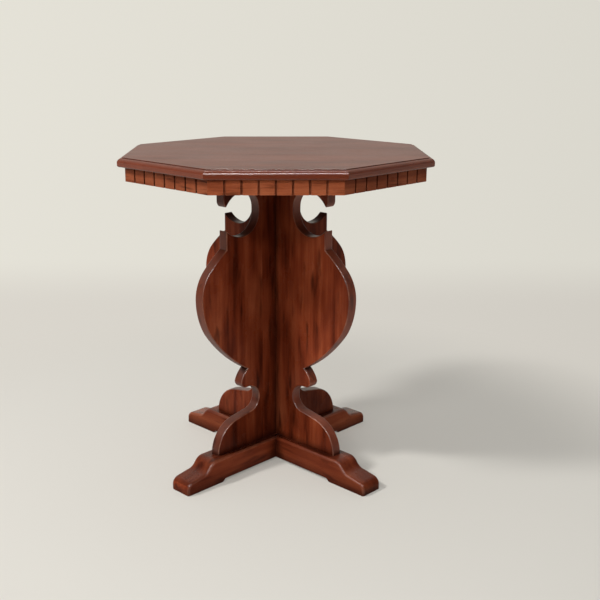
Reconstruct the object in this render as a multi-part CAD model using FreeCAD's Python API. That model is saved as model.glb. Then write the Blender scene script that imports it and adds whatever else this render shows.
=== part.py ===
import FreeCAD, Part
import math
import os
from FreeCAD import Vector

# Octagonal side table on a cross of two fretted scroll boards and sled feet.
# Millimetres, +Z up, origin on the floor under the pedestal's axis.
# The scroll boards and the feet lie along X and Y.

# Whole table
table_height = 660.0
top_across_flats = 600.0

# Octagonal top, glued up from boards that run along one diagonal
top_thickness = 18.0
top_board_count = 5
mould_width = 10.0
mould_quirk = 1.6
mould_drop = 8.5
nose_round = 4.0

# Apron of eight mitred rails, sawn into dentil blocks
apron_overhang = 14.0
apron_height = 28.0
apron_thickness = 20.0
dentils_per_rail = 8
kerf_width = 3.6
kerf_depth = 3.0
glue_block_leg = 34.0
glue_block_height = 22.0

# Bearers between the pedestal and the top
bearer_width = 60.0
bearer_thickness = 20.0
bearer_end_gap = 0.5

# Scroll boards
board_thickness = 22.0
neck_reach = 60.0
neck_web = 10.0

# Upper part of the scroll: depths are below the board's top edge
ear_reach = 152.5
ear_depth = 60.0
ear_round_height = 12.0
ear_tip_inset = 6.5
neck_high_depth = 70.0
neck_low_depth = 77.0
notch_upper_round = 37.0
notch_lower_round = 45.0
beak_reach = 146.0
beak_height = 38.0
shoulder_depth = 143.5

# Belly: shares of the way down from the shoulder to the bead
belly_reach = 211.0
belly_share = 0.36
haunch_reach = 190.0
haunch_share = 0.15
flank_share = 0.65
haunch_swell = 1.5
flank_swell = 7.0

# Lower part of the scroll: heights are above the foot beams
bead_corner_reach = 92.5
bead_corner_height = 168.0
bead_reach = 111.0
bead_height = 142.0
bead_swell = 2.4
lower_notch_reach = 89.0
lower_notch_height = 100.0
lower_notch_radius = 28.0
base_crown_reach = 121.0
base_crown_height = 66.0
base_reach = 177.0

# Sled feet
foot_width = 52.0
foot_height = 53.0
foot_reach = 271.0
foot_relief = 6.0
pad_length = 93.0
relief_ramp = 7.0
toe_length = 39.0
ogee_length = 40.0
toe_height = 31.5
toe_nose_length = 13.0
toe_nose_height = 27.0
toe_upright = 11.5

# Joints: halvings, and stub tenons from the wings up into the bearers
halving_clearance = 0.15
tenon_reach = 100.0
tenon_length = 60.0
tenon_thickness = 8.0
tenon_height = 12.0
mortise_clearance = 0.15

# Countersunk screws, up through the feet and up through the bearers
screw_clearance = 0.1
screw_shank = 5.0
screw_head = 10.0
screw_head_height = 3.5
foot_screw_length = 90.0
foot_screw_reach = 115.0
top_screw_length = 30.0
top_screw_reach = 215.0

# Places worked out from the sizes: the glue line of a scroll board lies a web inside the neck
core_half_width = neck_reach - neck_web
apron_across_flats = top_across_flats - 2.0 * apron_overhang
top_underside = table_height - top_thickness
bearer_underside = top_underside - bearer_thickness
board_top = bearer_underside
board_bottom = foot_height
board_middle = (board_top + board_bottom) / 2.0
bearer_middle = (top_underside + bearer_underside) / 2.0
foot_middle = (foot_height + foot_relief) / 2.0

flats = 8
flat_angle = 360.0 / flats
half_flat_tangent = math.tan(math.radians(flat_angle / 2.0))
quarter_point = math.sqrt(0.5)
up = Vector(0, 0, 1)
origin = Vector(0, 0, 0)


def point(r, z):
    return Vector(r, 0, z)


def line(start, end):
    return Part.LineSegment(start, end).toShape()


def arc(start, middle, end):
    return Part.Arc(start, middle, end).toShape()


def swept_arc(centre, radius, first, last):
    # arc of a circle in the XZ plane between two angles in degrees
    def at(angle):
        turn = math.radians(angle)
        return point(centre.x + radius * math.cos(turn), centre.z + radius * math.sin(turn))
    return arc(at(first), at((first + last) / 2.0), at(last))


def flat_arc(level_end, other_end):
    # arc that leaves level_end horizontally and passes through other_end
    run = other_end.x - level_end.x
    rise = other_end.z - level_end.z
    radius = (run * run + rise * rise) / (2.0 * abs(rise))
    half_turn = math.atan2(abs(run), radius - abs(rise)) / 2.0
    middle = point(level_end.x + math.copysign(radius * math.sin(half_turn), run),
                   level_end.z + math.copysign(radius * (1.0 - math.cos(half_turn)), rise))
    return arc(level_end, middle, other_end)


def upright_arc(upright_end, other_end):
    # arc that leaves upright_end vertically and passes through other_end
    run = other_end.x - upright_end.x
    rise = other_end.z - upright_end.z
    radius = (run * run + rise * rise) / (2.0 * abs(run))
    half_turn = math.atan2(abs(rise), radius - abs(run)) / 2.0
    middle = point(upright_end.x + math.copysign(radius * (1.0 - math.cos(half_turn)), run),
                   upright_end.z + math.copysign(radius * math.sin(half_turn), rise))
    return arc(upright_end, middle, other_end)


def swollen_arc(start, end, swell):
    # arc that stands out from its chord by swell, to the left of the way from start to end
    chord = end - start
    middle = (start + end) / 2.0
    lift = swell / chord.Length
    return arc(start, point(middle.x - chord.z * lift, middle.z + chord.x * lift), end)


def slab(edges, thickness):
    # outline in the XZ plane made into a board of that thickness, centred on the plane
    face = Part.Face(Part.Wire(Part.__sortEdges__(edges)))
    face.translate(Vector(0, -thickness / 2.0, 0))
    return face.extrude(Vector(0, thickness, 0))


def box(x_range, y_range, z_range):
    corner = Vector(x_range[0], y_range[0], z_range[0])
    return Part.makeBox(x_range[1] - x_range[0], y_range[1] - y_range[0],
                        z_range[1] - z_range[0], corner)


def turned(shape, angle):
    copy = shape.copy()
    copy.rotate(origin, up, angle)
    return copy


def save(name, shape):
    shape.exportStep(os.path.join("parts", name + ".step"))
    print(name, round(shape.Volume / 1000.0, 2), "cm3", "valid" if shape.isValid() else "INVALID")


# Top

def moulded_bar():
    # long bar with the moulding on both edges; four of them crossed leave the octagon
    half = top_across_flats / 2.0
    quirk_z = table_height - mould_quirk
    nose_z = table_height - mould_drop
    round_z = top_underside + nose_round
    inner = half - mould_width
    right = [
        line(point(inner, table_height), point(inner, quirk_z)),
        arc(point(inner, quirk_z),
            point(inner + mould_width * quarter_point,
                  nose_z + (quirk_z - nose_z) * quarter_point),
            point(half, nose_z)),
        line(point(half, nose_z), point(half, round_z)),
        swept_arc(point(half - nose_round, round_z), nose_round, 0.0, -90.0),
    ]
    left = [edge.mirror(origin, Vector(1, 0, 0)) for edge in right]
    caps = [
        line(point(-inner, table_height), point(inner, table_height)),
        line(point(nose_round - half, top_underside), point(half - nose_round, top_underside)),
    ]
    return slab(right + caps + left, 2.0 * top_across_flats)


def top_boards():
    bar = moulded_bar()
    top = bar
    for step in range(1, flats // 2):
        top = top.common(turned(bar, step * flat_angle))
    width = top_across_flats / top_board_count
    reach = top_across_flats
    boards = []
    for index in range(top_board_count):
        low = -top_across_flats / 2.0 + index * width
        strip = box((-reach, reach), (low, low + width), (top_underside, table_height))
        boards.append(top.common(turned(strip, flat_angle)))
    return boards


# Apron

def apron_rail():
    # rail on the -Y side, mitred at both ends
    outer = apron_across_flats / 2.0
    inner = outer - apron_thickness
    outer_end = outer * half_flat_tangent
    inner_end = inner * half_flat_tangent
    low = top_underside - apron_height
    plan = Part.makePolygon([
        Vector(-outer_end, -outer, low),
        Vector(outer_end, -outer, low),
        Vector(inner_end, -inner, low),
        Vector(-inner_end, -inner, low),
        Vector(-outer_end, -outer, low),
    ])
    rail = Part.Face(plan).extrude(Vector(0, 0, apron_height))
    pitch = 2.0 * outer_end / dentils_per_rail
    kerfs = []
    for index in range(1, dentils_per_rail):
        centre = index * pitch - outer_end
        kerfs.append(box((centre - kerf_width / 2.0, centre + kerf_width / 2.0),
                         (-outer - kerf_depth, -outer + kerf_depth),
                         (low - kerf_depth, top_underside + kerf_depth)))
    return rail.cut(kerfs)


def glue_block():
    # wedge behind the mitre at the right-hand end of the -Y rail
    inner = apron_across_flats / 2.0 - apron_thickness
    corner = Vector(inner * half_flat_tangent, -inner, top_underside)
    along_rail = Vector(-1, 0, 0)
    turn = math.radians(flat_angle)
    along_next = Vector(math.cos(turn), math.sin(turn), 0)
    plan = Part.makePolygon([corner, corner + along_rail * glue_block_leg,
                             corner + along_next * glue_block_leg, corner])
    return Part.Face(plan).extrude(Vector(0, 0, -glue_block_height))


# Screws and tenons

def screw(head_face, length, clearance):
    # countersunk screw that points up from head_face; a clearance makes it the tool for its hole
    head_radius = screw_head / 2.0 + clearance
    shank_radius = screw_shank / 2.0 + clearance
    head = Part.makeCone(head_radius, shank_radius, screw_head_height, head_face, up)
    shank = Part.makeCylinder(shank_radius, length - screw_head_height + clearance,
                              head_face + up * screw_head_height, up)
    return head.fuse(shank)


def four_ways(reach, z):
    return [Vector(reach, 0, z), Vector(0, reach, z), Vector(-reach, 0, z), Vector(0, -reach, z)]


def tenon(clearance):
    # stub tenon on top of the +X wing; a clearance makes it the tool for its mortise
    half_length = tenon_length / 2.0 + clearance
    half_thickness = tenon_thickness / 2.0 + clearance
    return box((tenon_reach - half_length, tenon_reach + half_length),
               (-half_thickness, half_thickness),
               (board_top, board_top + tenon_height + clearance))


foot_seats = four_ways(foot_screw_reach, foot_relief)
foot_screws = [screw(seat, foot_screw_length, 0.0) for seat in foot_seats]
foot_holes = [screw(seat, foot_screw_length, screw_clearance) for seat in foot_seats]
top_seats = four_ways(top_screw_reach, bearer_underside)
top_screws = [screw(seat, top_screw_length, 0.0) for seat in top_seats]
top_holes = [screw(seat, top_screw_length, screw_clearance) for seat in top_seats]
mortises = [turned(tenon(mortise_clearance), index * 90.0) for index in range(4)]


# Bearers

def bearer(lap_range):
    # bearer along X with a lap cut at its middle over lap_range
    reach = apron_across_flats / 2.0 - apron_thickness - bearer_end_gap
    half = bearer_width / 2.0
    bar = box((-reach, reach), (-half, half), (bearer_underside, top_underside))
    lap = half + halving_clearance
    return bar.cut(box((-lap, lap), (-bearer_width, bearer_width), lap_range))


# Scroll boards

def wing():
    # outer part of a scroll board on the +X side, from its glue line to its fretted edge
    glue_high = point(core_half_width, board_top)
    glue_low = point(core_half_width, board_bottom)
    ear_high = point(ear_reach, board_top)
    ear_tip = point(ear_reach - ear_tip_inset, board_top - ear_depth)
    ear_start = point(ear_reach, ear_tip.z + ear_round_height)
    neck_high = point(neck_reach, board_top - neck_high_depth)
    neck_low = point(neck_reach, board_top - neck_low_depth)
    upper_centre = point(neck_reach + notch_upper_round, neck_high.z)
    lower_centre = point(neck_reach + notch_lower_round, neck_low.z)
    notch_high = point(upper_centre.x, upper_centre.z + notch_upper_round)
    notch_low = point(lower_centre.x, lower_centre.z - notch_lower_round)
    shoulder = point(beak_reach, board_top - shoulder_depth)
    beak_tip = point(beak_reach, shoulder.z + beak_height)
    bead_corner = point(bead_corner_reach, board_bottom + bead_corner_height)
    fall = shoulder.z - bead_corner.z
    haunch = point(haunch_reach, shoulder.z - haunch_share * fall)
    belly = point(belly_reach, shoulder.z - belly_share * fall)
    flank = point(haunch_reach, shoulder.z - flank_share * fall)
    bead = point(bead_reach, board_bottom + bead_height)
    hollow = point(lower_notch_reach, board_bottom + lower_notch_height)
    hollow_high = point(hollow.x, hollow.z + lower_notch_radius)
    hollow_low = point(hollow.x, hollow.z - lower_notch_radius)
    bead_round = bead.z - hollow_high.z
    bead_low = point(bead.x - bead_round, hollow_high.z)
    base_crown = point(base_crown_reach, board_bottom + base_crown_height)
    base_end = point(base_reach, board_bottom)
    edges = [
        line(glue_low, glue_high),
        line(glue_high, ear_high),
        line(ear_high, ear_start),
        upright_arc(ear_start, ear_tip),
        flat_arc(notch_high, ear_tip),
        swept_arc(upper_centre, notch_upper_round, 90.0, 180.0),
        line(neck_high, neck_low),
        swept_arc(lower_centre, notch_lower_round, 180.0, 270.0),
        flat_arc(notch_low, beak_tip),
        line(beak_tip, shoulder),
        swollen_arc(shoulder, haunch, haunch_swell),
        upright_arc(belly, haunch),
        upright_arc(belly, flank),
        swollen_arc(flank, bead_corner, flank_swell),
        swollen_arc(bead_corner, bead, bead_swell),
        swept_arc(point(bead_low.x, bead.z), bead_round, 0.0, -90.0),
        line(bead_low, hollow_high),
        swept_arc(hollow, lower_notch_radius, 90.0, 270.0),
        line(hollow_low, base_crown),
        upright_arc(base_end, base_crown),
        line(base_end, glue_low),
    ]
    return slab(edges, board_thickness).fuse(tenon(0.0))


def core(slot_range):
    # middle part of a scroll board along X, with the halving slot over slot_range
    half_board = board_thickness / 2.0
    stave = box((-core_half_width, core_half_width), (-half_board, half_board),
                (board_bottom, board_top))
    half_slot = half_board + halving_clearance
    return stave.cut(box((-half_slot, half_slot), (-board_thickness, board_thickness), slot_range))


# Sled feet

def foot_beam(lap_range):
    # beam along X with ogee toes, and a lap cut at its middle over lap_range
    toe = point(foot_reach - toe_length, toe_height)
    instep = point(toe.x - ogee_length, foot_height)
    waist = point((instep.x + toe.x) / 2.0, (instep.z + toe.z) / 2.0)
    toe_nose = point(foot_reach - toe_nose_length, toe_nose_height)
    toe_end = point(foot_reach, toe_upright)
    pad_out = point(foot_reach, 0)
    pad_in = point(foot_reach - pad_length, 0)
    relief_start = point(pad_in.x - relief_ramp, foot_relief)
    right = [
        flat_arc(instep, waist),
        flat_arc(toe, waist),
        line(toe, toe_nose),
        upright_arc(toe_end, toe_nose),
        line(toe_end, pad_out),
        line(pad_out, pad_in),
        line(pad_in, relief_start),
    ]
    left = [edge.mirror(origin, Vector(1, 0, 0)) for edge in right]
    middle = [
        line(point(-instep.x, foot_height), instep),
        line(point(-relief_start.x, foot_relief), relief_start),
    ]
    beam = slab(right + left + middle, foot_width)
    lap = foot_width / 2.0 + halving_clearance
    return beam.cut(box((-lap, lap), (-foot_width, foot_width), lap_range))


os.makedirs("parts", exist_ok=True)

for number, board in enumerate(top_boards(), 1):
    save("top_board_%d" % number, board.cut(top_holes))

rail = apron_rail()
block = glue_block()
for index in range(flats):
    save("apron_rail_%d" % (index + 1), turned(rail, index * flat_angle))
save("glue_blocks", Part.makeCompound([turned(block, index * flat_angle) for index in range(flats)]))

bearer_a = bearer((bearer_middle, table_height))
bearer_b = turned(bearer((board_middle, bearer_middle)), 90.0)
save("top_bearer_a", bearer_a.cut(mortises + top_holes))
save("top_bearer_b", bearer_b.cut(mortises + top_holes))

wing_shape = wing()
for index in range(4):
    save("scroll_wing_%d" % (index + 1), turned(wing_shape, index * 90.0).cut(foot_holes))
core_a = core((foot_middle, board_middle))
core_b = turned(core((board_middle, table_height)), 90.0)
save("scroll_core_a", core_a.cut(foot_holes))
save("scroll_core_b", core_b.cut(foot_holes))

beam_a = foot_beam((foot_middle, table_height))
beam_b = turned(foot_beam((-foot_height, foot_middle)), 90.0)
save("foot_beam_a", beam_a.cut(foot_holes))
save("foot_beam_b", beam_b.cut(foot_holes))

save("foot_screws", Part.makeCompound(foot_screws))
save("top_screws", Part.makeCompound(top_screws))
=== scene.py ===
import bmesh
import bpy
import math
import random
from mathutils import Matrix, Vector


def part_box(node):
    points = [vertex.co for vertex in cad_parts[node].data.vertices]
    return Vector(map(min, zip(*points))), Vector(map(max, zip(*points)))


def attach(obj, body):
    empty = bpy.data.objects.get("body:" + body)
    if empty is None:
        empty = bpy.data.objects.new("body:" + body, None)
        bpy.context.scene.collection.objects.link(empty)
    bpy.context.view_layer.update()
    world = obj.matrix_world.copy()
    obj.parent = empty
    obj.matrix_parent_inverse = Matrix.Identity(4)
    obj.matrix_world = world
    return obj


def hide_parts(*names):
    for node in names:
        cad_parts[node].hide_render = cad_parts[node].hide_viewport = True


# Octagonal side table in varnished hardwood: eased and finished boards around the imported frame
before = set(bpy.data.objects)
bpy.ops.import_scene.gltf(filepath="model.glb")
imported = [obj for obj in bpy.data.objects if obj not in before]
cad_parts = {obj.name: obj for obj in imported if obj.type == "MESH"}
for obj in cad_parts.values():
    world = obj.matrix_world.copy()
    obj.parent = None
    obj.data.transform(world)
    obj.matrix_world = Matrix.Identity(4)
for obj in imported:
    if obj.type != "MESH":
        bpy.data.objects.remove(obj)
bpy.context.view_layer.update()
scene = bpy.context.scene
scene.view_settings.view_transform = "Standard"
print("frame loaded,", len(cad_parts), "nodes")

# directions that the joinery follows
xAxis = Vector((1, 0, 0))
yAxis = Vector((0, 1, 0))
upAxis = Vector((0, 0, 1))
wingWays = [xAxis, yAxis, -xAxis, -yAxis]


def planTurn(direction, degrees):
    # a level direction swung round the upright axis
    turn = math.radians(degrees)
    c, s = math.cos(turn), math.sin(turn)
    return Vector((c * direction.x - s * direction.y, s * direction.x + c * direction.y, direction.z))


# Node helpers

def addNode(tree, kind, inputs=None, **settings):
    made = tree.nodes.new(kind)
    for key, value in settings.items():
        setattr(made, key, value)
    for key, value in (inputs or {}).items():
        if isinstance(value, bpy.types.NodeSocket):
            tree.links.new(value, made.inputs[key])
        else:
            made.inputs[key].default_value = value
    return made


def maths(tree, operation, first, second):
    return addNode(tree, "ShaderNodeMath", {0: first, 1: second}, operation=operation).outputs[0]


def vectorMaths(tree, operation, *terms):
    return addNode(tree, "ShaderNodeVectorMath", dict(enumerate(terms)), operation=operation).outputs[0]


def measured(tree, operation, *terms):
    # a length or a dot product, which comes out as one number
    made = addNode(tree, "ShaderNodeVectorMath", dict(enumerate(terms)), operation=operation)
    return made.outputs["Value"]


def scaled(tree, vector, level):
    made = addNode(tree, "ShaderNodeVectorMath", {0: vector, "Scale": level}, operation="SCALE")
    return made.outputs[0]


def mottle(tree, vector, scale, detail=2.0, roughness=0.5, output=0):
    # noise squeezed by a different amount each way
    spread = vectorMaths(tree, "MULTIPLY", vector, scale)
    inputs = {"Vector": spread, "Scale": 1.0, "Detail": detail, "Roughness": roughness}
    return addNode(tree, "ShaderNodeTexNoise", inputs).outputs[output]


def remap(tree, value, low, high, newLow=0.0, newHigh=1.0):
    inputs = {"Value": value, "From Min": low, "From Max": high, "To Min": newLow, "To Max": newHigh}
    return addNode(tree, "ShaderNodeMapRange", inputs, clamp=True).outputs[0]


def smooth(tree, value, low, high):
    inputs = {"Value": value, "From Min": low, "From Max": high}
    return addNode(tree, "ShaderNodeMapRange", inputs, interpolation_type="SMOOTHSTEP").outputs[0]


def blendColour(tree, share, first, second):
    mix = addNode(tree, "ShaderNodeMix", {0: share, 6: first, 7: second}, data_type="RGBA")
    return mix.outputs[2]


def ramp(tree, value, stops):
    made = addNode(tree, "ShaderNodeValToRGB", {0: value})
    band = made.color_ramp
    while len(band.elements) < len(stops):
        band.elements.new(0.5)
    for element, (place, colour) in zip(band.elements, stops):
        element.position = place
        element.color = (*colour, 1)
    return made.outputs[0]


def openness(tree, reach):
    # 1 in the open, less in corners within reach
    return addNode(tree, "ShaderNodeAmbientOcclusion", {"Distance": reach}, samples=8).outputs["AO"]


def newFinish(name):
    finish = bpy.data.materials.new(name)
    finish.use_nodes = True
    tree = finish.node_tree
    shader = tree.nodes["Principled BSDF"]
    return finish, tree, shader


# Wood finishes

def varnishedWood(name, look):
    # growth rings, streaks, flecks, fibres and pores in the board's own coordinates under varnish
    finish, tree, shader = newFinish(name)
    grain = addNode(tree, "ShaderNodeAttribute", attribute_name="grain").outputs["Vector"]
    tone, wearAndHighlight, wall = [addNode(tree, "ShaderNodeAttribute", attribute_name=layer).outputs["Fac"]
                        for layer in ("tone", "wearAndHighlight", "wall")]

    # slow waver of the grain along the board
    waver = mottle(tree, grain, look["waverScale"], output="Color")
    centred = vectorMaths(tree, "SUBTRACT", waver, (0.5, 0.5, 0.5))
    bent = vectorMaths(tree, "MULTIPLY_ADD", centred, (0.0, look["waver"], look["waver"]), grain)

    # growth rings round a pith that leans along the board
    parts = addNode(tree, "ShaderNodeSeparateXYZ", {0: bent}).outputs
    lean = maths(tree, "MULTIPLY", parts[0], look["lean"])
    depth = maths(tree, "ADD", parts[2], lean)
    across = addNode(tree, "ShaderNodeCombineXYZ", {1: parts[1], 2: depth}).outputs[0]
    ringPlace = maths(tree, "MULTIPLY", measured(tree, "LENGTH", across), look["ringsPerMetre"])
    ringInputs = {"W": ringPlace, "Scale": 1.0, "Detail": 2.0, "Roughness": 0.55}
    rings = addNode(tree, "ShaderNodeTexNoise", ringInputs, noise_dimensions="1D").outputs[0]

    # clouds, broad bands, long streaks, fibres, dark flecks and pores
    clouds = mottle(tree, grain, look["cloudScale"], 2.0, 0.6)
    bands = mottle(tree, bent, look["bandScale"])
    streaks = mottle(tree, bent, look["streakScale"], 3.0, 0.55)
    fibres = mottle(tree, bent, look["fibreScale"])
    flecks = mottle(tree, bent, look["fleckScale"], 1.0)
    pores = mottle(tree, bent, look["poreScale"], 1.0)
    fleckMask = remap(tree, flecks, *look["fleckRange"])
    poreMask = remap(tree, pores, *look["poreRange"])

    shares = look["shares"]
    figure = maths(tree, "MULTIPLY", rings, shares[0])
    for layer, share in zip((clouds, bands, streaks, fibres), shares[1:]):
        figure = maths(tree, "ADD", figure, maths(tree, "MULTIPLY", layer, share))
    colour = ramp(tree, figure, look["colours"])

    # a more even tone on the edges of the board
    turned = remap(tree, wall, *look["edgeRange"])
    evened = maths(tree, "MULTIPLY", turned, look["wallEvenness"])
    colour = blendColour(tree, evened, colour, (*look["wallColour"], 1))
    dark = (*look["poreColour"], 1)
    colour = blendColour(tree, maths(tree, "MULTIPLY", fleckMask, look["fleckDepth"]), colour, dark)
    colour = blendColour(tree, maths(tree, "MULTIPLY", poreMask, look["poreDepth"]), colour, dark)
    toned = scaled(tree, colour, tone)

    # painted shade: a darker tone towards the inner corners
    if look["shade"]:
        wide = openness(tree, look["shadeReach"])
        toned = scaled(tree, toned, remap(tree, wide, *look["shadeRange"], 1.0 - look["shade"], 1.0))

    # stain and painted shade gathered in the inner corners and joints
    uneven = mottle(tree, grain, look["stainAndShadeScale"], 3.0)
    deep = remap(tree, openness(tree, look["stainAndShadeReach"]), *look["stainAndShadeRange"], look["stainAndShade"], 0.0)
    deep = maths(tree, "MULTIPLY", deep, remap(tree, uneven, *look["stainAndShadePatches"]))
    stainedAndShaded = blendColour(tree, deep, toned, dark)

    # rubbed arrises, paler in patches: partly wear, partly a painted highlight line along the rounds
    rubAndHighlight = mottle(tree, grain, look["rubAndHighlightScale"], 4.0, 0.65)
    rubbedAndLit = maths(tree, "MULTIPLY", wearAndHighlight, remap(tree, rubAndHighlight, *look["rubAndHighlightRange"], 0.0, look["rubAndHighlight"]))
    wornAndLit = blendColour(tree, rubbedAndLit, stainedAndShaded, (*look["rubAndHighlightColour"], 1))
    tree.links.new(wornAndLit, shader.inputs["Base Color"])

    # more gloss on the walls and arrises, and uneven gloss from handling
    onFace, onWall, onArris = look["specular"]
    gloss = remap(tree, turned, 0.0, 1.0, onFace, onWall)
    gloss = addNode(tree, "ShaderNodeMix", {0: wearAndHighlight, 2: gloss, 3: onArris}).outputs[0]
    tree.links.new(gloss, shader.inputs["Specular IOR Level"])
    smears = mottle(tree, grain, look["smearScale"], 5.0, 0.6)
    rough = remap(tree, smears, *look["smearRange"], *look["roughness"])
    edges = maths(tree, "MAXIMUM", turned, wearAndHighlight)
    rough = maths(tree, "MULTIPLY", rough, remap(tree, edges, 0.0, 1.0, 1.0, look["edgeRoughness"]))
    dull = maths(tree, "MULTIPLY", poreMask, remap(tree, edges, 0.0, 1.0, look["poreDullness"], 0.0))
    tree.links.new(maths(tree, "ADD", rough, dull), shader.inputs["Roughness"])

    relief = maths(tree, "SUBTRACT", maths(tree, "MULTIPLY", fibres, look["fibreRelief"]), poreMask)
    strength = remap(tree, edges, 0.0, 1.0, look["bump"], look["bump"] * look["edgeBump"])
    bumpInputs = {"Strength": strength, "Distance": look["reliefDepth"], "Height": relief}
    bump = addNode(tree, "ShaderNodeBump", bumpInputs)
    tree.links.new(bump.outputs[0], shader.inputs["Normal"])
    shader.inputs["IOR"].default_value = 1.5
    return finish


# scales run along the grain, across the face and through the thickness; ranges are noise levels unless noted
pedestalLook = {
    "colours": [
        (0.395, (0.060, 0.0088, 0.0030)), (0.452, (0.118, 0.0190, 0.0064)),
        (0.50, (0.172, 0.0300, 0.0103)), (0.548, (0.226, 0.0455, 0.0163)), (0.615, (0.300, 0.0720, 0.0285)),
    ],
    "shares": (0.12, 0.32, 0.30, 0.20, 0.06),   # rings, clouds, bands, streaks, fibres
    "ringsPerMetre": 50.0, "lean": 0.035, "waver": 0.024, "waverScale": (2.2, 9.0, 9.0),
    "cloudScale": (6.5, 12.0, 12.0), "bandScale": (3.6, 27.0, 27.0), "streakScale": (5.0, 75.0, 75.0),
    "fibreScale": (14.0, 650.0, 650.0), "fibreRelief": 0.35, "reliefDepth": 0.0002,
    "fleckScale": (13.0, 70.0, 70.0), "fleckRange": (0.60, 0.78), "fleckDepth": 0.75,
    "poreScale": (110.0, 2300.0, 2300.0), "poreRange": (0.60, 0.72), "poreDepth": 0.40,
    "poreColour": (0.024, 0.0042, 0.0018), "poreDullness": 0.14,
    "stainAndShade": 0.92, "stainAndShadeReach": 0.016, "stainAndShadeRange": (0.57, 0.98),   # openness that takes stain and painted shade
    "stainAndShadeScale": (16.0, 40.0, 40.0), "stainAndShadePatches": (0.3, 0.7, 0.65, 1.0),
    "shade": 0.42, "shadeReach": 0.20, "shadeRange": (0.5, 1.0),      # openness that darkens
    "wallColour": (0.096, 0.0200, 0.0078), "wallEvenness": 0.8,
    "edgeRange": (0.02, 0.25),                  # turn from the board's face that counts as its edge
    # rubbed arrises: wear and a painted highlight line
    "rubAndHighlight": 0.5, "rubAndHighlightColour": (0.36, 0.135, 0.065), "rubAndHighlightScale": (34.0, 34.0, 34.0), "rubAndHighlightRange": (0.42, 0.66),
    "roughness": (0.22, 0.34), "smearScale": (9.0, 15.0, 15.0), "smearRange": (0.3, 0.72),
    "edgeRoughness": 1.3, "bump": 0.15, "edgeBump": 0.2,
    "specular": (0.05, 0.30, 0.6),              # on the faces, walls and arrises
}
feetLook = {
    **pedestalLook,
    "colours": [
        (0.37, (0.060, 0.0100, 0.0038)), (0.44, (0.105, 0.0185, 0.0068)),
        (0.50, (0.150, 0.0290, 0.0108)), (0.56, (0.190, 0.0420, 0.0160)), (0.64, (0.250, 0.0650, 0.0270)),
    ],
    "bandScale": (2.4, 34.0, 34.0), "rubAndHighlight": 0.2, "specular": (0.17, 0.04, 0.3),
    # stain and painted shade on the lower edges by the floor and in the joints
    "stainAndShade": 0.95, "stainAndShadeReach": 0.030, "shade": 0.08, "wallEvenness": 0.0,
}
apronLook = {
    **pedestalLook,
    "colours": [
        (0.36, (0.150, 0.0310, 0.0110)), (0.44, (0.235, 0.0540, 0.0205)),
        (0.50, (0.310, 0.0780, 0.0310)), (0.56, (0.375, 0.1030, 0.0430)), (0.65, (0.450, 0.1400, 0.0620)),
    ],
    "bandScale": (4.0, 44.0, 44.0), "streakScale": (7.0, 150.0, 150.0),
    "fleckScale": (14.0, 180.0, 180.0), "rubAndHighlight": 0.2, "specular": (0.05, 0.10, 0.3),
    # stain and painted shade in the kerfs between the blocks
    "stainAndShadeReach": 0.005, "stainAndShade": 0.75, "shade": 0.0, "wallEvenness": 0.0,
}
topLook = {
    **pedestalLook,
    "colours": [
        (0.36, (0.105, 0.0210, 0.0085)), (0.44, (0.130, 0.0275, 0.0112)),
        (0.50, (0.155, 0.0345, 0.0145)), (0.56, (0.180, 0.0425, 0.0182)), (0.65, (0.215, 0.0550, 0.0245)),
    ],
    "bandScale": (1.3, 22.0, 22.0), "streakScale": (2.6, 95.0, 95.0), "fleckDepth": 0.25,
    "poreDepth": 0.2, "rubAndHighlight": 0.15, "roughness": (0.33, 0.38), "edgeRoughness": 0.56,
    "bump": 0.03, "edgeBump": 0.0, "specular": (0.16, 0.36, 0.4),
    "stainAndShadeReach": 0.004, "shade": 0.0, "wallColour": (0.138, 0.0265, 0.0100), "wallEvenness": 0.8,
}
innerLook = {
    **pedestalLook,
    "colours": [
        (0.36, (0.20, 0.105, 0.052)), (0.44, (0.27, 0.150, 0.078)),
        (0.50, (0.34, 0.20, 0.108)), (0.56, (0.40, 0.25, 0.142)), (0.65, (0.46, 0.31, 0.19)),
    ],
    "poreColour": (0.12, 0.055, 0.026), "fleckDepth": 0.3, "rubAndHighlight": 0.25, "rubAndHighlightColour": (0.50, 0.36, 0.23),
    "roughness": (0.55, 0.75), "edgeRoughness": 1.0, "bump": 0.4, "specular": (0.25, 0.3, 0.3),
    "shade": 0.0, "wallEvenness": 0.0,
}


def zincSteel(look):
    # plated screws with a fine brushed turning and dull patches
    finish, tree, shader = newFinish("zinc_steel")
    place = addNode(tree, "ShaderNodeTexCoord").outputs["Object"]
    dull = mottle(tree, place, look["patchScale"], 4.0, 0.6)
    fine = mottle(tree, place, look["fineScale"])
    tree.links.new(ramp(tree, dull, look["colours"]), shader.inputs["Base Color"])
    tree.links.new(remap(tree, dull, *look["patchRange"], *look["roughness"]), shader.inputs["Roughness"])
    bumpInputs = {"Strength": look["bump"], "Distance": look["reliefDepth"], "Height": fine}
    bump = addNode(tree, "ShaderNodeBump", bumpInputs)
    tree.links.new(bump.outputs[0], shader.inputs["Normal"])
    shader.inputs["Metallic"].default_value = 1.0
    return finish


steelLook = {
    "patchScale": (420.0, 420.0, 420.0), "patchRange": (0.3, 0.7), "roughness": (0.26, 0.5),
    "fineScale": (2600.0, 2600.0, 2600.0), "bump": 0.15, "reliefDepth": 0.0001,
    "colours": [(0.35, (0.36, 0.34, 0.30)), (0.65, (0.60, 0.59, 0.56))],
}

pedestalWood = varnishedWood("pedestal_wood", pedestalLook)
feetWood = varnishedWood("feet_wood", feetLook)
apronWood = varnishedWood("apron_wood", apronLook)
topWood = varnishedWood("top_wood", topLook)
innerWood = varnishedWood("inner_wood", innerLook)
steel = zincSteel(steelLook)
print("finishes made,", len(bpy.data.materials), "materials")


# Mesh helpers

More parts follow.
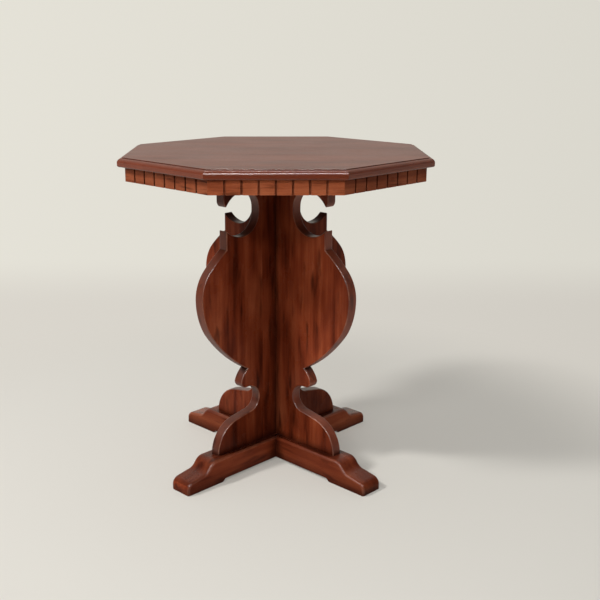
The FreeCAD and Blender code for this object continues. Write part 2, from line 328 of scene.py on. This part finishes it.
shop = {
    "weld": 1e-6,            # distance at which split corners join again
    "fineCut": 1e-7,         # how near a cut an old corner has to be to serve as the new one
    "planeTolerance": 2e-5,
    "flatAngle": 0.4,        # facets within this many degrees become one face
    "arrisAngle": 33.0,      # sharper edges than this are arrises
    "creaseAngle": 36.0,     # sharper edges than this keep a crease in the shading
    "alike": 0.9999,         # dot product of directions that count as the same
    "alongBoard": 0.999,     # and of edges that run through a board's thickness
    "edgeShare": 0.5,        # how far a facet turns from the board's face to take the edge's tone
    "grainShifts": ((-2, 2), (-0.07, 0.07), (0.05, 0.11)),   # metres, where in its log a board was cut
}


def weldedCopy(node):
    # the node's shape as closed faces, without the split corners and triangles of the file
    bm = bmesh.new()
    bm.from_mesh(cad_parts[node].data)
    bmesh.ops.remove_doubles(bm, verts=bm.verts, dist=shop["weld"])
    flat = math.radians(shop["flatAngle"])
    bmesh.ops.dissolve_limit(bm, angle_limit=flat, verts=bm.verts, edges=bm.edges)
    return bm


def scoreLine(bm, normal, offset, slack):
    # new edges where a plane crosses the shape
    everything = bm.verts[:] + bm.edges[:] + bm.faces[:]
    bmesh.ops.bisect_plane(bm, geom=everything, dist=slack, plane_co=normal * offset, plane_no=normal)


def onPlane(face, plane):
    normal, offset = plane
    if abs(face.normal.dot(normal)) < shop["alike"]:
        return False
    return abs(face.verts[0].co.dot(normal) - offset) < shop["planeTolerance"]


def isArris(edge, hidden):
    # a sharp outer edge that no joint hides
    if not edge.is_manifold or not edge.is_convex:
        return False
    if edge.calc_face_angle() < math.radians(shop["arrisAngle"]):
        return False
    return not any(onPlane(face, plane) for face in edge.link_faces for plane in hidden)


def runsAlong(edge, direction):
    span = edge.verts[0].co - edge.verts[1].co
    return abs(span.normalized().dot(direction)) > shop["alongBoard"]


def relaxTips(bm, through, hidden, reach):
    # joins the short facets beside a sharp tip, so that the easing there keeps its width
    across = [edge for edge in bm.edges if runsAlong(edge, through)]
    tips = [edge for edge in across if isArris(edge, hidden)]
    middle = {edge: (edge.verts[0].co + edge.verts[1].co) / 2.0 for edge in across}
    spare = [edge for edge in across
             if edge.calc_face_angle(0.0) < math.radians(shop["arrisAngle"])
             and any((middle[edge] - middle[tip]).length < reach for tip in tips)]
    bmesh.ops.dissolve_edges(bm, edges=spare, use_verts=True)


def easeArrises(bm, radius, hidden, segments, skip=None, clamp=True):
    # rounds every arris and marks the rounds for wear and a painted highlight
    arrises = [edge for edge in bm.edges if isArris(edge, hidden) and not (skip and skip(edge))]
    made = bmesh.ops.bevel(bm, geom=arrises, offset=radius, offset_type="OFFSET", segments=segments,
                           profile=0.5, affect="EDGES", clamp_overlap=clamp)
    wearAndHighlight = bm.loops.layers.float.get("wearAndHighlight") or bm.loops.layers.float.new("wearAndHighlight")
    rounds = set(made["faces"])
    for face in rounds:
        for loop in face.loops:
            loop[wearAndHighlight] = 1.0 if all(near in rounds for near in loop.vert.link_faces) else 0.0


def layGrain(bm, along, through, seed):
    # board coordinates in metres: along the grain, across the face, through the thickness
    draw = random.Random(seed)
    across = through.cross(along)
    shift = Vector([draw.uniform(low, high) for low, high in shop["grainShifts"]])
    grain = bm.verts.layers.float_vector.new("grain")
    for vert in bm.verts:
        vert[grain] = Vector((vert.co.dot(along), vert.co.dot(across), vert.co.dot(through))) + shift
    bm.normal_update()
    wall = bm.loops.layers.float.new("wall")
    for face in bm.faces:
        for loop in face.loops:
            loop[wall] = 1.0 - abs(face.normal.dot(through))


def addPiece(name, nodes, bm, finish, tone=1.0, edgeToneAndSheen=None, crease=shop["creaseAngle"]):
    # one finished piece in place of its nodes; its edge tone is partly painted sheen
    for layer in ("wearAndHighlight", "wall", "tone"):
        if not bm.loops.layers.float.get(layer):
            bm.loops.layers.float.new(layer)
    wall = bm.loops.layers.float["wall"]
    toneLayer = bm.loops.layers.float["tone"]
    for face in bm.faces:
        for loop in face.loops:
            onEdge = edgeToneAndSheen and loop[wall] > shop["edgeShare"]
            loop[toneLayer] = edgeToneAndSheen if onEdge else tone
    bmesh.ops.recalc_face_normals(bm, faces=bm.faces)
    for face in bm.faces:
        face.smooth = True
    for edge in bm.edges:
        edge.smooth = edge.is_manifold and edge.calc_face_angle(0.0) < math.radians(crease)
    mesh = bpy.data.meshes.new(name)
    bm.to_mesh(mesh)
    bm.free()
    mesh.materials.append(finish)
    piece = bpy.data.objects.new(name, mesh)
    scene.collection.objects.link(piece)
    weighted = piece.modifiers.new("weightedNormals", "WEIGHTED_NORMAL")
    weighted.keep_sharp = True
    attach(piece, "root")
    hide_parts(*nodes)


# Levels and joint lines read from the frame
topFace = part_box("top_board_1")[1].z
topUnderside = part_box("top_board_1")[0].z
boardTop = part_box("top_bearer_a")[0].z
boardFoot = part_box("scroll_core_a")[0].z
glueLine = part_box("scroll_core_a")[1].x
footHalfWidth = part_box("foot_beam_a")[1].y
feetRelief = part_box("foot_screws")[0].z


# Top boards
topBoards = {
    "count": 5, "grainTurn": 45.0, "ease": 0.0006, "segments": 2,
    "ovolo": (0.0016, 0.0085), "nose": (0.014, 0.018),   # moulding, measured down from the top
    "sweep": 80.0, "steps": 10,                          # degrees of the rounds, in so many facets
    "facetTurn": 14.0,                                   # degrees between facets of one round, at most
    "sideways": 0.05,                                    # level share of a normal; less means a flat face
    "sameSide": 0.99,                                    # dot product in plan of two faces on one side
    "crease": 12.0,                                      # degrees, so that the mitres stay crisp
    "tones": (0.98, 1.05, 0.95, 1.03, 0.97), "firstSeed": 10,
}


def keepCrisp(edge, plan):
    # the mitres, and the shallow edges in the quirk
    slack = shop["planeTolerance"]
    low, high = sorted(vert.co.z for vert in edge.verts)
    quirkFoot = topFace - plan["ovolo"][0]
    return high - low > slack or quirkFoot - slack < low < topFace - slack


def onOneSide(edge, plan):
    # true where both faces of the edge look the same way in plan
    first, second = [face.normal.to_2d() for face in edge.link_faces]
    if min(first.length, second.length) <= plan["sideways"]:
        return False
    return first.normalized().dot(second.normalized()) > plan["sameSide"]


def slanting(edge, levels):
    low, high = sorted(vert.co.z for vert in edge.verts)
    slack = shop["weld"]
    return levels[-1] - slack < low and high < levels[0] + slack and high - low > slack


def offLevel(vert, levels):
    height, slack = vert.co.z, shop["weld"]
    inside = levels[-1] - slack < height < levels[0] + slack
    return inside and min(abs(height - level) for level in levels) > slack


def levelMoulding(bm, plan):
    # gives the moulding facets that run level along each side, in place of slanting ones
    for (start, end), turn in ((plan["ovolo"], math.cos), (plan["nose"], math.sin)):
        angles = [math.radians(plan["sweep"] * step / plan["steps"]) for step in range(plan["steps"] + 1)]
        falls = [turn(angle) for angle in angles]
        shares = [(fall - falls[0]) / (falls[-1] - falls[0]) for fall in falls]
        levels = [topFace - start - (end - start) * share for share in shares]
        for level in levels[1:-1]:
            scoreLine(bm, upAxis, level, shop["fineCut"])
        spare = [edge for edge in bm.edges
                 if slanting(edge, levels) and edge.is_manifold and onOneSide(edge, plan)
                 and edge.calc_face_angle() < math.radians(plan["facetTurn"])]
        bmesh.ops.dissolve_edges(bm, edges=spare, use_verts=True)
        loose = [vert for vert in bm.verts if offLevel(vert, levels) and len(vert.link_edges) == 2]
        bmesh.ops.dissolve_verts(bm, verts=loose)
    bmesh.ops.remove_doubles(bm, verts=bm.verts, dist=shop["weld"])


def makeTopBoards(plan):
    along = planTurn(xAxis, plan["grainTurn"])
    across = planTurn(yAxis, plan["grainTurn"])
    nodes = [f"top_board_{index + 1}" for index in range(plan["count"])]
    joints = set()
    for node in nodes:
        reach = [vert.co.dot(across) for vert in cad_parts[node].data.vertices]
        joints.update((round(min(reach), 5), round(max(reach), 5)))
    glued = sorted(joints)[1:-1]
    hidden = [(across, joint) for joint in glued] + [(upAxis, topUnderside)]
    for index, node in enumerate(nodes):
        bm = weldedCopy(node)
        levelMoulding(bm, plan)
        easeArrises(bm, plan["ease"], hidden, plan["segments"], lambda edge: keepCrisp(edge, plan),
                    clamp=False)
        layGrain(bm, along, upAxis, plan["firstSeed"] + index)
        addPiece(f"{node}_wood", [node], bm, topWood, plan["tones"][index], crease=plan["crease"])


makeTopBoards(topBoards)
print("top boards finished")


# Apron
apron = {
    "count": 8, "ease": 0.0006, "segments": 2,
    "tones": (0.66, 1.06, 0.76, 0.94, 1.0, 0.92, 0.98, 0.94), "firstSeed": 30,
}


def makeApron(plan):
    turn = 360.0 / plan["count"]
    for index in range(plan["count"]):
        node = f"apron_rail_{index + 1}"
        outward = planTurn(-yAxis, turn * index)
        along = planTurn(xAxis, turn * index)
        mitres = [planTurn(along, turn / 2.0), planTurn(along, -turn / 2.0)]
        hidden = [(mitre, 0.0) for mitre in mitres] + [(upAxis, topUnderside)]
        bm = weldedCopy(node)
        easeArrises(bm, plan["ease"], hidden, plan["segments"])
        layGrain(bm, along, outward, plan["firstSeed"] + index)
        addPiece(f"{node}_wood", [node], bm, apronWood, plan["tones"][index])


makeApron(apron)
print("apron rails finished")


# Glue blocks and bearers under the top
underTop = {
    "segments": 2, "blockEase": 0.0008, "blockTone": 0.95, "blockSeed": 50,
    "bearerEase": 0.0015, "bearerTones": (1.0, 0.92), "bearerSeeds": (149, 150),
    "lapReach": 0.031,       # half of the halving where the bearers cross, with some room
    "shortEdge": 0.005,      # rims of the screw holes are made of shorter edges and stay sharp
}


def insideLap(edge, along, halfLap):
    # edges in a halving, where the crossing piece fills the cut
    return all(abs(vert.co.dot(along)) < halfLap for vert in edge.verts)


def makeUnderTop(plan):
    hidden = [(upAxis, topUnderside)]
    bm = weldedCopy("glue_blocks")
    easeArrises(bm, plan["blockEase"], hidden, plan["segments"])
    layGrain(bm, upAxis, xAxis, plan["blockSeed"])
    addPiece("glue_blocks_wood", ["glue_blocks"], bm, innerWood, plan["blockTone"])
    bearers = zip("ab", (xAxis, yAxis), plan["bearerTones"], plan["bearerSeeds"])
    for letter, along, tone, seed in bearers:
        node = f"top_bearer_{letter}"
        bm = weldedCopy(node)

        def staysSharp(edge):
            return insideLap(edge, along, plan["lapReach"]) or edge.calc_length() < plan["shortEdge"]

        easeArrises(bm, plan["bearerEase"], hidden, plan["segments"], staysSharp, clamp=False)
        layGrain(bm, along, upAxis, seed)
        addPiece(f"{node}_wood", [node], bm, innerWood, tone)


makeUnderTop(underTop)
print("bearers and glue blocks finished")


# Scroll boards
scroll = {
    "ease": 0.0022, "segments": 4, "tipReach": 0.006,
    "wingTones": (1.08, 1.02, 1.06, 1.08), "wingSeeds": (80, 71, 72, 163),
    "edgeTonesAndSheen": (1.75, 1.2, 1.1, 0.94),   # on the sawn edges of the wings, partly painted sheen that evens out their lit and shaded sides
    "coreTones": (1.24, 1.24), "coreSeeds": (343, 364),
}


def onTenon(edge):
    return min(vert.co.z for vert in edge.verts) > boardTop - shop["planeTolerance"]


def makeScrolls(plan):
    wings = zip(wingWays, plan["wingTones"], plan["edgeTonesAndSheen"], plan["wingSeeds"])
    for index, (way, tone, edgeToneAndSheen, seed) in enumerate(wings):
        node = f"scroll_wing_{index + 1}"
        through = planTurn(way, 90.0)
        hidden = [(way, glueLine), (upAxis, boardTop), (upAxis, boardFoot)]
        bm = weldedCopy(node)
        relaxTips(bm, through, hidden, plan["tipReach"])
        easeArrises(bm, plan["ease"], hidden, plan["segments"], onTenon)
        layGrain(bm, upAxis, through, seed)
        addPiece(f"{node}_wood", [node], bm, pedestalWood, tone, edgeToneAndSheen)
    cores = zip("ab", (xAxis, yAxis), plan["coreTones"], plan["coreSeeds"])
    for letter, way, tone, seed in cores:
        node = f"scroll_core_{letter}"
        bm = weldedCopy(node)
        layGrain(bm, upAxis, planTurn(way, 90.0), seed)
        addPiece(f"{node}_wood", [node], bm, pedestalWood, tone)


makeScrolls(scroll)
print("scroll boards finished")


# Sled feet
feet = {
    "ease": 0.0055, "segments": 5, "soleEase": 0.002, "soleSegments": 3,
    "lapClearance": 0.00015,                     # play beside the crossing beam
    "holeReach": 0.012, "margin": 0.0005,        # half the strip with the screw holes, and some room
    # the edge tones on the beam sides are partly painted light, lifting the sides turned from the key lamp
    "tones": (1.08, 0.88), "edgeTonesAndSheen": (1.0, 1.42), "seeds": (187, 188),
}


def makeFeet(plan):
    lap = footHalfWidth + plan["lapClearance"]
    beams = zip("ab", (xAxis, yAxis), plan["tones"], plan["edgeTonesAndSheen"], plan["seeds"])
    for letter, along, tone, edgeToneAndSheen, seed in beams:
        node = f"foot_beam_{letter}"
        across = upAxis.cross(along)
        bm = weldedCopy(node)
        for side in (-1, 1):
            scoreLine(bm, along, side * lap, shop["planeTolerance"])

        def inJoint(edge):
            return insideLap(edge, along, lap + plan["margin"]) or insideLap(edge, across, plan["holeReach"])

        def onSole(edge):
            return max(vert.co.z for vert in edge.verts) < feetRelief + plan["margin"]

        easeArrises(bm, plan["ease"], [], plan["segments"], lambda edge: inJoint(edge) or onSole(edge))
        easeArrises(bm, plan["soleEase"], [], plan["soleSegments"],
                    lambda edge: inJoint(edge) or not onSole(edge))
        layGrain(bm, along, upAxis, seed)
        addPiece(f"{node}_wood", [node], bm, feetWood, tone, edgeToneAndSheen)


makeFeet(feet)
print("feet finished")


# Screws with a cross recess in each head
screws = {"recessHalfWidth": 0.0006, "recessReach": 0.0026, "recessDepth": 0.0018, "recessTaper": 0.7}


def cutRecess(bm, head, plan):
    centre = head.calc_center_median()
    rim = list(head.edges)
    wide, reach = plan["recessHalfWidth"], plan["recessReach"]
    corners = []
    for quarter in range(4):
        along = planTurn(xAxis, 90.0 * quarter)
        side = planTurn(yAxis, 90.0 * quarter)
        corners += [along * wide - side * wide, along * reach - side * wide, along * reach + side * wide]
    mouth = [bm.verts.new(centre + corner) for corner in corners]
    floor = [bm.verts.new(centre + corner * plan["recessTaper"] + upAxis * plan["recessDepth"])
             for corner in corners]
    bmesh.ops.delete(bm, geom=[head], context="FACES_ONLY")
    lips = [bm.edges.new((mouth[i - 1], mouth[i])) for i in range(len(mouth))]
    bmesh.ops.triangle_fill(bm, use_beauty=True, edges=rim + lips)
    for i in range(len(mouth)):
        bm.faces.new((mouth[i - 1], mouth[i], floor[i], floor[i - 1]))
    bm.faces.new(floor)


def makeScrews(plan):
    for node in ("foot_screws", "top_screws"):
        bm = weldedCopy(node)
        low = min(vert.co.z for vert in bm.verts)
        heads = [face for face in bm.faces if onPlane(face, (upAxis, low))]
        for head in heads:
            cutRecess(bm, head, plan)
        addPiece(f"{node}_steel", [node], bm, steel)


makeScrews(screws)
print("screws finished")


# Camera at the height and angle of the picture
camera = {
    "azimuth": 45.0,                                       # degrees from -Y towards +X
    "distance": 1.882, "height": 0.867, "pitch": 0.2692,   # metres, and radians down
    "focal": 929.5, "frame": 600.0, "axisPixel": 275.91,   # in pixels of the frame
    "sensor": 36.0,
}

outward = planTurn(-yAxis, camera["azimuth"])
picture = {
    "eye": outward * camera["distance"] + upAxis * camera["height"],
    "ahead": -outward, "right": planTurn(outward, 90.0),
}


def makeCamera(plan):
    lens = bpy.data.cameras.new("camera")
    lens.sensor_width = plan["sensor"]
    lens.lens = plan["focal"] / plan["frame"] * plan["sensor"]
    lens.shift_x = (plan["frame"] / 2.0 - plan["axisPixel"]) / plan["frame"]
    viewer = bpy.data.objects.new("camera", lens)
    scene.collection.objects.link(viewer)
    viewer.location = picture["eye"]
    viewer.rotation_euler = (math.pi / 2.0 - plan["pitch"], 0.0, math.radians(plan["azimuth"]))
    scene.camera = viewer


# Floor and background: the floor passes into its own far colour and then into the wall
stage = {
    "radius": 7.0, "segments": 160, "roughness": 0.9, "specular": 0.1,
    "floorColour": (0.745, 0.733, 0.680), "patchScale": (3.0, 3.0, 3.0), "patchLift": 1.012,
    "farColour": (0.673, 0.642, 0.583), "wallColour": (0.746, 0.724, 0.651),
    "farFrom": 0.58, "farTo": 1.10,          # metres from the table
    "wallFrom": 1.15, "wallTo": 1.95,        # metres behind the table
    "edgeFrom": 2.6, "edgeTo": 4.5,          # metres from the table, all round
    "fallOff": 0.16,                         # how much paler the wall is on the left
    "evenness": 0.33,                        # share of the far colour that the near floor has as well
    "roomColour": (0.10, 0.095, 0.09),       # what gloss reflects from the side of the picture
    "roomFrom": -0.5, "roomTo": -1.5,        # metres behind the table, where the floor takes it on
    "roomAheadFrom": 0.55, "roomAheadTo": 0.0,   # share of looking ahead, where the background does
}


def seenDirectly(tree):
    # 1 for rays that show the background itself: to the camera, in gloss and through glass
    rays = addNode(tree, "ShaderNodeLightPath").outputs
    seen = maths(tree, "MAXIMUM", rays["Is Camera Ray"], rays["Is Glossy Ray"])
    return maths(tree, "MAXIMUM", seen, rays["Is Transmission Ray"])


def inGloss(tree, share):
    # the share, for rays that show the room in gloss only
    return maths(tree, "MULTIPLY", addNode(tree, "ShaderNodeLightPath").outputs["Is Glossy Ray"], share)


def fading(tree, colour, direction, plan):
    # the colour, paler towards the left of the picture
    rightward = measured(tree, "DOT_PRODUCT", direction, picture["right"])
    level = maths(tree, "SUBTRACT", 1.0, maths(tree, "MULTIPLY", rightward, plan["fallOff"]))
    return scaled(tree, colour, level)


def floorPaper(plan):
    finish, tree, shader = newFinish("floor_paper")
    place = addNode(tree, "ShaderNodeTexCoord").outputs["Object"]
    patches = mottle(tree, place, plan["patchScale"], 3.0)
    pale = tuple(channel * plan["patchLift"] for channel in plan["floorColour"])
    tint = blendColour(tree, patches, (*plan["floorColour"], 1), (*pale, 1))
    tree.links.new(tint, shader.inputs["Base Color"])
    shader.inputs["Roughness"].default_value = plan["roughness"]
    shader.inputs["Specular IOR Level"].default_value = plan["specular"]

    # far floor and wall, as light of their own
    away = measured(tree, "LENGTH", place)
    behind = measured(tree, "DOT_PRODUCT", place, picture["ahead"])
    far = smooth(tree, away, plan["farFrom"], plan["farTo"])
    wall = maths(tree, "MAXIMUM", smooth(tree, behind, plan["wallFrom"], plan["wallTo"]),
                 smooth(tree, away, plan["edgeFrom"], plan["edgeTo"]))
    shade = blendColour(tree, wall, (*plan["farColour"], 1), (*plan["wallColour"], 1))
    before = inGloss(tree, smooth(tree, behind, plan["roomFrom"], plan["roomTo"]))
    shade = blendColour(tree, before, shade, (*plan["roomColour"], 1))
    sight = vectorMaths(tree, "NORMALIZE", vectorMaths(tree, "SUBTRACT", place, picture["eye"]))
    glow = addNode(tree, "ShaderNodeEmission", {"Color": fading(tree, shade, sight, plan)}).outputs[0]
    share = remap(tree, maths(tree, "MAXIMUM", far, wall), 0.0, 1.0, plan["evenness"], 1.0)
    share = maths(tree, "MULTIPLY", share, seenDirectly(tree))
    shown = addNode(tree, "ShaderNodeMixShader", {0: share, 1: shader.outputs[0], 2: glow}).outputs[0]

    # from below the floor doesn't hide the underside
    below = addNode(tree, "ShaderNodeNewGeometry").outputs["Backfacing"]
    clear = addNode(tree, "ShaderNodeBsdfTransparent").outputs[0]
    oneSided = addNode(tree, "ShaderNodeMixShader", {0: below, 1: shown, 2: clear}).outputs[0]
    tree.links.new(oneSided, tree.nodes["Material Output"].inputs["Surface"])
    return finish


def makeFloor(plan):
    bm = bmesh.new()
    bmesh.ops.create_circle(bm, cap_ends=True, segments=plan["segments"], radius=plan["radius"])
    mesh = bpy.data.meshes.new("floor")
    bm.to_mesh(mesh)
    bm.free()
    mesh.materials.append(floorPaper(plan))
    floor = bpy.data.objects.new("floor", mesh)
    scene.collection.objects.link(floor)


def makeWorld(plan, light):
    world = bpy.data.worlds.new("studio")
    scene.world = world
    world.use_nodes = True
    tree = world.node_tree
    tree.nodes.clear()
    sight = addNode(tree, "ShaderNodeTexCoord").outputs["Generated"]
    towards = picture["ahead"] * light["leanBack"] - picture["right"] * light["leanLeft"]
    lean = measured(tree, "DOT_PRODUCT", sight, towards * light["level"])
    strength = maths(tree, "ADD", lean, light["level"])
    soft = addNode(tree, "ShaderNodeBackground", {"Color": (*light["colour"], 1), "Strength": strength})
    pale = fading(tree, plan["wallColour"], sight, plan)
    ahead = measured(tree, "DOT_PRODUCT", sight, picture["ahead"])
    before = inGloss(tree, smooth(tree, ahead, plan["roomAheadFrom"], plan["roomAheadTo"]))
    pale = blendColour(tree, before, pale, (*plan["roomColour"], 1))
    wall = addNode(tree, "ShaderNodeBackground", {"Color": pale})
    mixed = {0: seenDirectly(tree), 1: soft.outputs[0], 2: wall.outputs[0]}
    shown = addNode(tree, "ShaderNodeMixShader", mixed).outputs[0]
    addNode(tree, "ShaderNodeOutputWorld", {"Surface": shown})


# Lamps: swing is measured from the camera's side, to the right when positive
lamps = {
    "key": {"swing": -66.0, "rise": 44.0, "distance": 6.0, "width": 0.8, "height": 0.8, "watts": 228.0,
            "colour": (1.0, 0.98, 0.96)},
    "front": {"swing": -17.0, "rise": 30.0, "distance": 4.0, "width": 2.0, "height": 0.3, "watts": 52.0,
              "colour": (1.0, 0.99, 0.98)},
    "strip": {"swing": 5.0, "rise": 45.0, "distance": 4.0, "width": 2.6, "height": 0.12, "watts": 152.0,
              "colour": (1.0, 0.97, 0.96), "glossOnly": True},
    "over": {"swing": 0.0, "rise": 98.0, "distance": 3.2, "width": 0.9, "height": 0.12, "watts": 24.0,
             "colour": (1.0, 0.97, 0.96), "glossOnly": True},
}
lampAim = upAxis * 0.4   # the middle of the pedestal
fill = {"colour": (1.0, 0.99, 0.98), "level": 0.36, "leanBack": 0.35, "leanLeft": 0.18}


def makeLamps(plan):
    for name, lamp in plan.items():
        data = bpy.data.lights.new(name, "AREA")
        data.shape = "RECTANGLE"
        data.size = lamp["width"]
        data.size_y = lamp["height"]
        data.energy = lamp["watts"]
        data.color = lamp["colour"]
        light = bpy.data.objects.new(name, data)
        light.visible_diffuse = not lamp.get("glossOnly", False)
        scene.collection.objects.link(light)
        rise = math.radians(lamp["rise"])
        side = planTurn(outward, lamp["swing"])
        reach = side * math.cos(rise) + upAxis * math.sin(rise)
        light.location = lampAim + reach * lamp["distance"]
        light.rotation_euler = reach.to_track_quat("Z", "Y").to_euler()


makeFloor(stage)
makeWorld(stage, fill)
makeCamera(camera)
makeLamps(lamps)
print("floor, background, camera and lamps set")
